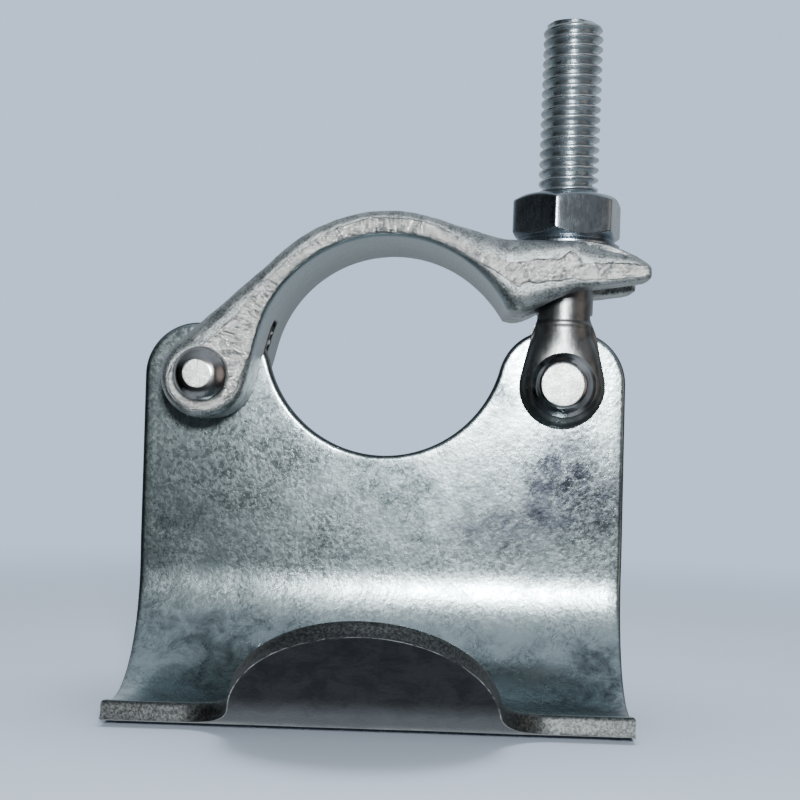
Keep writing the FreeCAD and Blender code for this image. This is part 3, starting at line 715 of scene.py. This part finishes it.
def makeBolt(material):
    b = bolt
    points, faces = remeshed("swing_bolt", b["voxel"], 5, boltPivot[2] + b["threadStart"] + mm)
    local = (points - boltPivot) @ boltTurn
    # across the bolt, the eye's section goes from the round neck to a flat with round edges
    lo, hi = (np.array(corner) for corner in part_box("swing_bolt"))
    full = (hi[1] - lo[1]) / 2
    eye = b["eyeRadius"]
    fork = b["forkHalf"]
    height = local[:, 2]
    radius = np.hypot(local[:, 0], np.minimum(height, 0))
    half = np.interp(height, (4 * mm, b["neckTop"] - mm), (full, b["shankRadius"]))
    width = np.interp(height, (0, b["waistHeight"], b["neckTop"], 20 * mm),
                      (eye, b["waist"], b["shankRadius"] + 0.1 * mm, b["shankRadius"]))
    power = np.interp(height, (-eye, 0, 5 * mm, 10 * mm), (3.2, 3.6, 3.0, 2.0))
    limit = half * (1 - np.clip(radius / width, 0, 0.995) ** power) ** (1 / power)
    limit = np.maximum(limit, fork + 0.5 * mm)
    away = np.abs(local[:, 1])
    pressed = fork + (away - fork) * (limit - fork) / (full - fork)
    weight = (1 - smooth(height, b["neckTop"] - 1.4 * mm, b["neckTop"] - 0.3 * mm)) * (away > fork)
    local[:, 1] = np.sign(local[:, 1]) * (away + (pressed - away) * weight)
    # where the flat eye runs out into the neck, everything stays within a narrowing round
    around = np.hypot(local[:, 0], local[:, 1])
    allowed = np.interp(height, (b["squeezeStart"], b["neckTop"]),
                        (b["squeezeRadius"], b["shankRadius"]))
    wide = (around > allowed) & (height > b["squeezeStart"])
    squeeze = np.where(wide, allowed / np.maximum(around, mm), 1)
    local[:, :2] *= squeeze[:, None]
    local *= (1 + 0.005 * ripple(local, 6 * mm, 3))[:, None]
    # a thread is rings whose radius follows the helix
    rows = int((b["reach"] - b["threadStart"]) / b["pitch"] * b["rowsPerTurn"])
    heights = np.linspace(b["threadStart"], b["reach"], rows)
    angle = np.linspace(0, 2 * math.pi, b["columns"], endpoint=False)
    rise, around = np.meshgrid(heights, angle, indexing="ij")
    phase = (rise / b["pitch"] - around / (2 * math.pi)) * 2 * math.pi
    groove = (0.5 + 0.5 * np.cos(phase)) ** 1.25
    groove *= smooth(rise, b["threadStart"], b["threadStart"] + b["runOut"])
    ring = b["radius"] - b["threadDepth"] * groove
    ring = np.where(rise < b["threadStart"] + b["runOut"],
                    np.minimum(ring, b["shankRadius"] + (rise - b["threadStart"]) * 0.07), ring)
    left = np.clip((b["reach"] - rise) / b["endRound"], 0, 1)
    dents = np.array([[noise.noise(Vector((math.cos(a) * 2.4, math.sin(a) * 2.4, h / mm * 0.5)))
                       for a in angle] for h in heights])
    end = b["radius"] * (0.74 + 0.26 * np.sqrt(1 - (1 - left) ** 2))
    end = end + 0.25 * mm * dents * (1 - left)
    ring = np.minimum(ring, end)
    ring = ring + 0.03 * mm * dents
    thread = np.c_[(ring * np.cos(around)).ravel(), (ring * np.sin(around)).ravel(), rise.ravel()]
    faces = list(faces) + gridFaces(rows, b["columns"], len(local))
    # the end face, slightly dished and hammered
    cap, capFaces = [], []
    start = len(local) + len(thread)
    ringStart = start - b["columns"]
    shares = (0.82, 0.6, 0.38, 0.16)
    for share in shares:
        last = thread[-b["columns"]:] * (share, share, 1)
        last[:, 2] -= 0.25 * mm * (1 - share) + 0.12 * mm * np.abs(ripple(last, 1.6 * mm, 8))
        cap.append(last)
    levels = [ringStart] + [start + i * b["columns"] for i in range(len(shares))]
    for one, two in zip(levels, levels[1:]):
        capFaces += [(one + c, one + (c + 1) % b["columns"], two + (c + 1) % b["columns"], two + c)
                     for c in range(b["columns"])]
    capFaces.append(tuple(levels[-1] + c for c in range(b["columns"])))
    local = np.concatenate([local, thread] + cap)
    threaded = np.r_[np.zeros(len(points)), np.ones(len(local) - len(points))]
    return makePiece("swingBolt", alongBolt(local), faces + capFaces, material, "swing_bolt",
                     "bolt", 50, {"threaded": threaded})


boltLook = {
    "bright": (0.53, 0.58, 0.61),
    "dull": (0.27, 0.30, 0.325),
    "forged": (0.21, 0.215, 0.22),
    "forgedDark": (0.10, 0.105, 0.108),
}


def boltZinc():
    s = Shader("boltZinc")
    look = boltLook
    threaded = s.mark("threaded")
    drawn = s.noise(0.7, 3, 0.6, 0, s.stretch(s.place, (1, 1, 0.12)))
    clouds = s.span(s.noise(5, 4, 0.6), 0.4, 0.66)
    tone = s.tint(clouds * 0.5, look["bright"], look["dull"])
    forged = s.tint(s.span(s.noise(3, 4, 0.6), 0.4, 0.65) * 0.6, look["forged"],
                    look["forgedDark"])
    tone = s.tint(threaded, forged, tone)
    shine = 0.2 + drawn * 0.14 + clouds * 0.06 + (1 - threaded) * 0.07
    height = drawn * 0.6 + s.noise(1.8, 2) * (1 - threaded) * 1.5
    return s.finish({"Base Color": tone, "Metallic": 1.0, "Roughness": shine,
                     "Normal": s.bump(height, 0.03)})


makeBolt(boltZinc())

# Flange nut: a hexagon with chamfers at both ends, its neck and its flare.

nut = {
    "flats": 20.8 * mm,
    "height": 10.4 * mm,
    "flange": 11.05 * mm,      # radius at the seat
    "flangeEdge": 0.5 * mm,
    "neck": 9.9 * mm,          # narrowest radius, at the top of the flare
    "flareTop": 1.4 * mm,
    "topInset": 0.45 * mm,
    "topSlope": 30,            # degrees of the chamfers
    "underSlope": 37,
    "turn": 14.0,              # degrees from +X to the first corner
    "soft": 0.22 * mm,         # rounding where surfaces meet
    "columns": 288,
}


def softLow(first, second, soft):    # the lower of two radii, rounded where they cross
    return -soft * np.log(np.exp(-first / soft) + np.exp(-second / soft))


def makeNut(material):
    n = nut
    lo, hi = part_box("flange_nut")
    half = n["flats"] / 2
    middle = np.array(((lo.x + hi.x) / 2, boltPivot[1], (lo.z + hi.z) / 2))
    seat = np.dot(middle - boltPivot, boltAxis) - n["height"] / 2
    angle = np.linspace(0, 2 * math.pi, n["columns"], endpoint=False)
    fromCorner = (np.degrees(angle) - n["turn"] + 30) % 60 - 30
    hexagon = half / np.cos(np.radians(30 - np.abs(fromCorner)))
    corner = half / math.cos(math.radians(30)) - 0.1 * mm
    hexagon = softLow(hexagon, np.full(len(angle), corner), n["soft"])
    tall = n["height"]
    # rows lie close together at the flare and at both chamfers
    heights = np.concatenate([
        np.linspace(0.05, n["flareTop"] / mm, 14), np.linspace(1.5, 3.6, 26),
        np.linspace(3.8, 7.4, 12), np.linspace(7.6, tall / mm, 34)]) * mm
    rings = []
    for z in heights:
        top = half - n["topInset"] + (tall - z) / math.tan(math.radians(n["topSlope"]))
        under = n["neck"] + (z - n["flareTop"]) / math.tan(math.radians(n["underSlope"]))
        side = softLow(hexagon, np.full(len(angle), top), n["soft"])
        if z > n["flareTop"]:
            side = softLow(side, np.full(len(angle), under), 0.08 * mm)
        else:
            share = np.clip((z - n["flangeEdge"]) / (n["flareTop"] - n["flangeEdge"]), 0, 1)
            flare = n["flange"] - (n["flange"] - n["neck"]) * math.sin(share * math.pi / 2)
            side = np.full(len(angle), flare)
        rings.append(np.c_[side * np.cos(angle), side * np.sin(angle), np.full(len(angle), z)])
    bore = bolt["radius"] + 0.05 * mm
    for radius, z in ((half - 1.3 * mm, tall), (bore + 0.8 * mm, tall),
                      (bore + 0.4 * mm, tall - 0.15 * mm), (bore, tall - 0.6 * mm),
                      (bore, 0.6 * mm), (bore + 0.5 * mm, 0.0), (n["flange"] - 0.2 * mm, 0.0)):
        rings.append(np.c_[radius * np.cos(angle), radius * np.sin(angle), np.full(len(angle), z)])
    count = len(angle)
    faces = gridFaces(len(rings), count)
    last = (len(rings) - 1) * count
    faces += [(last + c, last + (c + 1) % count, (c + 1) % count, c) for c in range(count)]
    local = np.concatenate(rings)
    local[:, 2] += seat
    return makePiece("flangeNut", alongBolt(local), faces, material, "flange_nut", "nut",
                     30)


nutLook = {
    "bright": (0.34, 0.385, 0.43),
    "dull": (0.17, 0.20, 0.235),
}


def nutZinc():
    s = Shader("nutZinc")
    rubbed = s.noise(0.9, 4, 0.65, 0.2, s.stretch(s.place, (1.6, 1.6, 0.3)))
    clouds = s.span(s.noise(3.5, 4, 0.65), 0.42, 0.62)
    tone = s.tint(s.span(rubbed, 0.4, 0.66) * 0.3 + clouds * 0.12, nutLook["bright"],
                  nutLook["dull"])
    shine = 0.16 + rubbed * 0.16 + clouds * 0.04
    height = rubbed + s.noise(0.4, 2) * 0.4
    return s.finish({"Base Color": tone, "Metallic": 1.0, "Roughness": shine,
                     "Normal": s.bump(height, 0.025)})


makeNut(nutZinc())

# Rivets: turned shanks with hammered heads.

rivet = {
    "shank": 4.0 * mm,
    "columns": 96,
    "flatShift": 0.35 * mm,
    # each head's radii and heights and the rounding of its corners, in millimetres
    "flap": {
        "head": [(5.3, 0), (5.59, 0.3), (5.4, 1.25), (4.75, 2.2), (3.75, 2.95), (2.75, 3.25),
                 (0.02, 3.3)],
        "radii": (0.3, 0.8, 0.8, 0.8, 0.3),
        "flatRadius": 2.7 * mm,
    },
    "bolt": {
        "head": [(6.5, 0), (6.74, 0.45), (6.3, 0.85), (5.75, 1.4), (4.85, 3.0), (4.3, 3.33),
                 (0.02, 3.4)],
        "radii": (0.35, 0.5, 0.9, 0.6, 0.3),
        "flatRadius": 4.35 * mm,
    },
}


def makeRivet(name, node, pivot, material, head, radii, flatRadius):
    lo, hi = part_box(node)
    half = (hi.y - lo.y) / 2
    tall = head[-1][1] * mm
    grip = half - tall
    outer = rounded([(r * mm, grip + z * mm) for r, z in head], [r * mm for r in radii])
    shank = [(rivet["shank"], -grip), (rivet["shank"], grip)]
    profile = [(r, -z) for r, z in outer[::-1]] + shank + outer
    points, faces = revolved(profile, rivet["columns"])
    radius = np.hypot(points[:, 0], points[:, 1])
    ended = np.abs(points[:, 2]) > half - 0.6 * mm
    edge = radius + 0.22 * mm * ripple(points, 2.6 * mm, 7) * (flatRadius < 4 * mm)
    flat = smooth(-edge, -flatRadius - 0.2 * mm, -flatRadius + 0.2 * mm) * ended
    points[:, 0] -= rivet["flatShift"] * smooth(np.abs(points[:, 2]), grip + 0.4 * tall, half)
    dimple = np.abs(ripple(points, 2.2 * mm, 9)) + 0.5 * np.abs(ripple(points, 0.9 * mm, 5))
    points[:, 2] -= np.sign(points[:, 2]) * 0.1 * mm * dimple * flat
    points[:, :2] *= (1 - 0.004 * np.abs(ripple(points, 7 * mm, 11)))[:, None]
    placed = np.c_[points[:, 0], -points[:, 2], points[:, 1]] + pivot
    return makePiece(name, placed, faces, material, node, "plate", 40, {"flat": flat})


rivetLook = {
    "bright": (0.33, 0.33, 0.34),
    "dull": (0.2, 0.205, 0.215),
    "flatDull": (0.42, 0.44, 0.44),
    "flatBright": (0.84, 0.86, 0.86),
}


def rivetZinc():
    s = Shader("rivetZinc")
    look = rivetLook
    flat = s.mark("flat")
    clouds = s.span(s.noise(2.4, 4, 0.6), 0.4, 0.65)
    scratches = s.noise(0.35, 4, 0.75, 0.8)
    tone = s.tint(clouds * 0.5, look["bright"], look["dull"])
    satin = s.tint(s.span(scratches, 0.4, 0.62), look["flatDull"], look["flatBright"])
    tone = s.tint(flat, tone, satin)
    shine = 0.17 + clouds * 0.1 + flat * (0.16 + scratches * 0.14)
    height = s.noise(1.3, 3) * 0.8 + flat * scratches * 1.5
    return s.finish({"Base Color": tone, "Metallic": 1.0, "Roughness": shine,
                     "Normal": s.bump(height, 0.035)})


rivetMaterial = rivetZinc()
makeRivet("flapRivet", "flap_rivet", flapPivot, rivetMaterial, **rivet["flap"])
makeRivet("boltRivet", "bolt_rivet", boltPivot, rivetMaterial, **rivet["bolt"])

# Studio: pale floor, soft room, a flash beside the camera and a soft lamp overhead.

studio = {
    "paper": (0.42, 0.475, 0.57),
    "backdrop": (0.60, 0.77, 1.0),
    "backdropStrength": 1.14,
    "behind": 0.6,                    # brightness of the room behind the object
    "front": 0.08,
    "above": 0.7,
    "below": 0.8,
    "warm": 0.7,
    "warmWay": (0.90, -0.42, 0.05),
    "cool": (0.84, 0.93, 1.0),
    "tan": (1.0, 0.84, 0.74),
    "floorRadius": 0.5,
    "fadeStart": 0.16,
    "fadeEnd": 0.42,
    "aim": (0, 0.01, 0.035),
}
lamps = {
    "flash": {"place": (0.036, -0.31, 0.094), "size": (0.045, 0.035), "power": 1.65,
              "colour": (0.98, 1.0, 0.99), "mirrored": True},
    "overhead": {"place": (0.03, 0.08, 0.45), "size": (0.3, 0.3), "power": 2.6,
                 "colour": (0.93, 0.96, 1.0), "mirrored": False},
}


def makeFloor():
    s = Shader("paper")
    lo, _ = cadBounds
    away = s.add("ShaderNodeVectorMath", {"operation": "LENGTH"}, {0: s.place}, "Value")
    seen = s.span(away, studio["fadeStart"] / mm, studio["fadeEnd"] / mm, 1, 0)
    grain = s.noise(0.8, 3, 0.6)
    tone = s.tint(s.noise(60, 2), studio["paper"], tuple(c * 0.96 for c in studio["paper"]))
    paper = s.add("ShaderNodeBsdfPrincipled", {}, {
        "Base Color": tone, "Roughness": 0.95, "Specular IOR Level": 0.1,
        "Normal": s.bump(grain, 0.02)})
    clear = s.add("ShaderNodeBsdfTransparent", {}, {})
    both = s.add("ShaderNodeMixShader", {}, {0: seen, 1: clear, 2: paper})
    s.add("ShaderNodeOutputMaterial", {}, {"Surface": both})
    turn = np.linspace(0, 2 * math.pi, 64, endpoint=False)
    mesh = bpy.data.meshes.new("floor")
    radius = studio["floorRadius"]
    rim = [(radius * math.cos(t), radius * math.sin(t), lo[2]) for t in turn]
    mesh.from_pydata(rim, [], [tuple(range(len(rim)))])
    mesh.materials.append(s.material)
    floor = bpy.data.objects.new("floor", mesh)
    bpy.context.scene.collection.objects.link(floor)
    floor.visible_glossy = False


def makeLamp(name, place, size, power, colour, mirrored):
    data = bpy.data.lights.new(name, "AREA")
    data.shape = "RECTANGLE"
    data.size, data.size_y = size
    data.energy = power
    data.color = colour
    lamp = bpy.data.objects.new(name, data)
    lamp.location = place
    way = Vector(studio["aim"]) - Vector(place)
    lamp.rotation_euler = way.to_track_quat("-Z", "Y").to_euler()
    lamp.visible_glossy = mirrored
    bpy.context.scene.collection.objects.link(lamp)


def makeRoom():
    s = Shader("room", bpy.data.worlds.new("room"))
    bpy.context.scene.world = s.material
    way = s.add("ShaderNodeTexCoord", {}, {}, "Generated")
    x, y, z = (s.add("ShaderNodeSeparateXYZ", {}, {0: way}, axis) for axis in "XYZ")
    level = s.span(abs(z), 0.3, 0.85, 1, 0.12)
    behind = s.span(y, 0.02, 0.5, 0, studio["behind"]) * level
    front = s.span(y, -0.9, -0.2, studio["front"], 0.03)
    front = front * s.span(x, -0.7, -0.15, 0.12, 1) * level
    over = s.span(z, 0.25, 0.75, 0, studio["above"]) * s.span(x, -0.8, 0.1, 0.4, 1)
    under = s.span(z, -0.97, -0.55, studio["below"], 0)
    toWarm = s.add("ShaderNodeVectorMath", {"operation": "DOT_PRODUCT"},
                   {0: way, 1: studio["warmWay"]}, "Value")
    warm = s.span(toWarm, 0.9, 0.985, 0, studio["warm"])
    tone = s.tint(s.span(toWarm, 0.86, 0.95), studio["cool"], studio["tan"])
    room = s.add("ShaderNodeBackground", {}, {
        "Color": tone, "Strength": behind + front + warm + over + under})
    shown = s.add("ShaderNodeBackground", {}, {
        "Color": studio["backdrop"], "Strength": studio["backdropStrength"]})
    seen = s.add("ShaderNodeLightPath", {}, {}, "Is Camera Ray")
    both = s.add("ShaderNodeMixShader", {}, {0: seen, 1: room, 2: shown})
    s.add("ShaderNodeOutputWorld", {}, {"Surface": both})


makeFloor()
makeRoom()
for name, lamp in lamps.items():
    makeLamp(name, **lamp)
print("studio ready")
